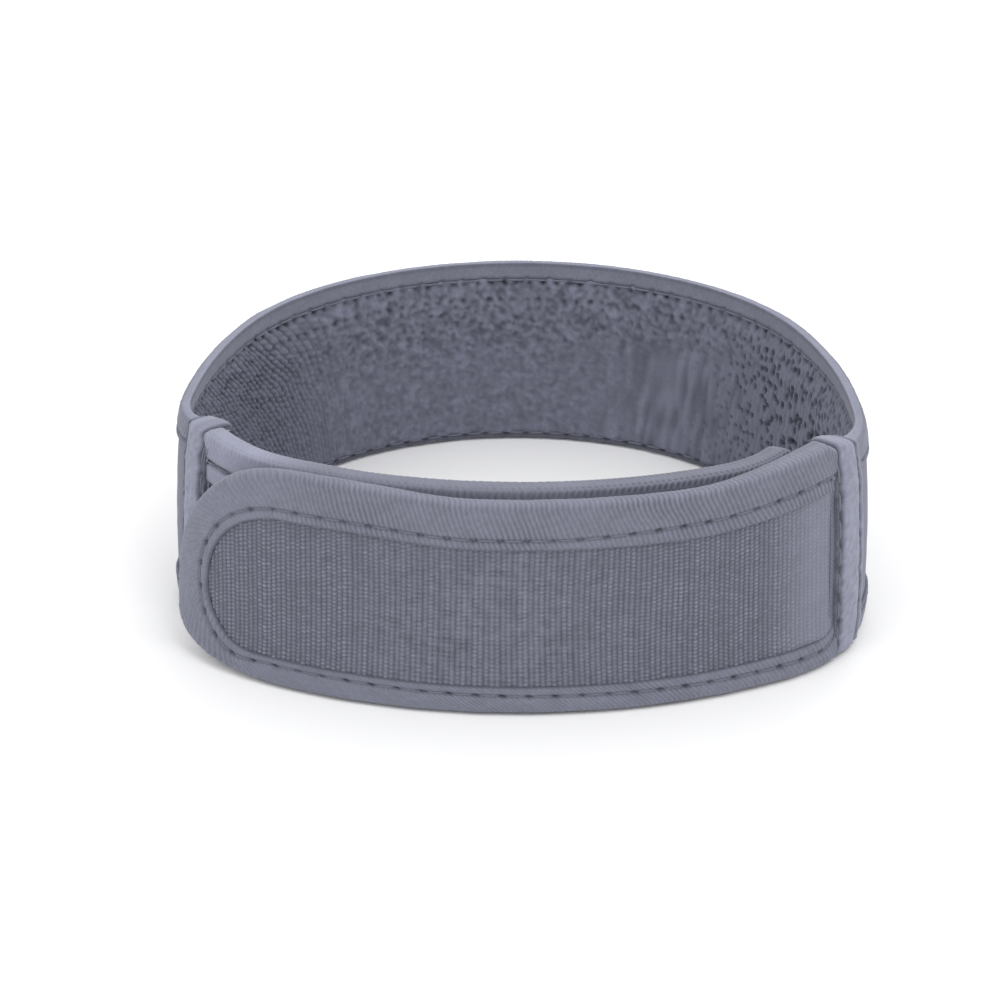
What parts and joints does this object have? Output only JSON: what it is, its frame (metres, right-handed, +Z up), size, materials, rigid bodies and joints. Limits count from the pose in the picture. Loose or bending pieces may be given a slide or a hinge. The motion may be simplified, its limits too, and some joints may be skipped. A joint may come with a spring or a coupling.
{
  "type": "esd wrist strap",
  "caption": "Adjustable fabric wrist strap: padded band with a conductive mesh lining, a bound hook-and-loop tab over an under-strap, and a snap stud at the back.",
  "frame": {"origin": "on the surface the strap stands on, under the middle of its bounding box", "axes": "+Z up along the ring's axis, -Y to the front where the tab closes, +X to the right seam where the tab is sewn on"},
  "size_m": [0.0741, 0.074, 0.0225],
  "materials": {
    "shell_fabric": "fine woven grey polyester",
    "lining_knit": "coarse conductive knit mesh",
    "binding_tape": "ribbed twill binding tape",
    "seam_tape": "fine twill tape",
    "face_weave": "corded woven tape",
    "hook_tape": "nylon hook tape",
    "loop_tape": "brushed loop pile",
    "backing_mesh": "fine air mesh",
    "thread": "spun polyester thread",
    "patch_webbing": "plain webbing",
    "snap_metal": "nickel-plated, satin"
  },
  "bodies": {
    "band": {"back_shell": "shell_fabric", "back_lining": "lining_knit", "back_top_binding": "binding_tape", "back_bottom_binding": "binding_tape", "back_top_stitching": "thread", "back_bottom_stitching": "thread", "left_seam_tape": "seam_tape", "right_seam_tape": "seam_tape", "left_seam_stitching": "thread", "right_seam_stitching": "thread", "snap_patch": "patch_webbing", "snap_stud": "snap_metal", "snap_rivet_cap": "snap_metal"},
    "tab": {"tab_face_tape": "face_weave", "tab_hook_tape": "hook_tape", "tab_binding": "binding_tape", "tab_edge_stitching": "thread"},
    "under_strap": {"under_strap_loop_tape": "loop_tape", "under_strap_backing": "backing_mesh", "under_strap_binding": "binding_tape", "under_strap_stitching": "thread"}
  },
  "joints": [
    {"name": "tab_peel", "type": "hinge", "parent": "band", "child": "tab", "pos_m": [0.03183, -0.02592, 0.0113], "axis": [0, 0, 1], "range_deg": [0, 110]},
    {"name": "under_strap_swing", "type": "hinge", "parent": "band", "child": "under_strap", "pos_m": [-0.02959, -0.01872, 0.0113], "axis": [0, 0, 1], "range_deg": [0, 30]}
  ]
}
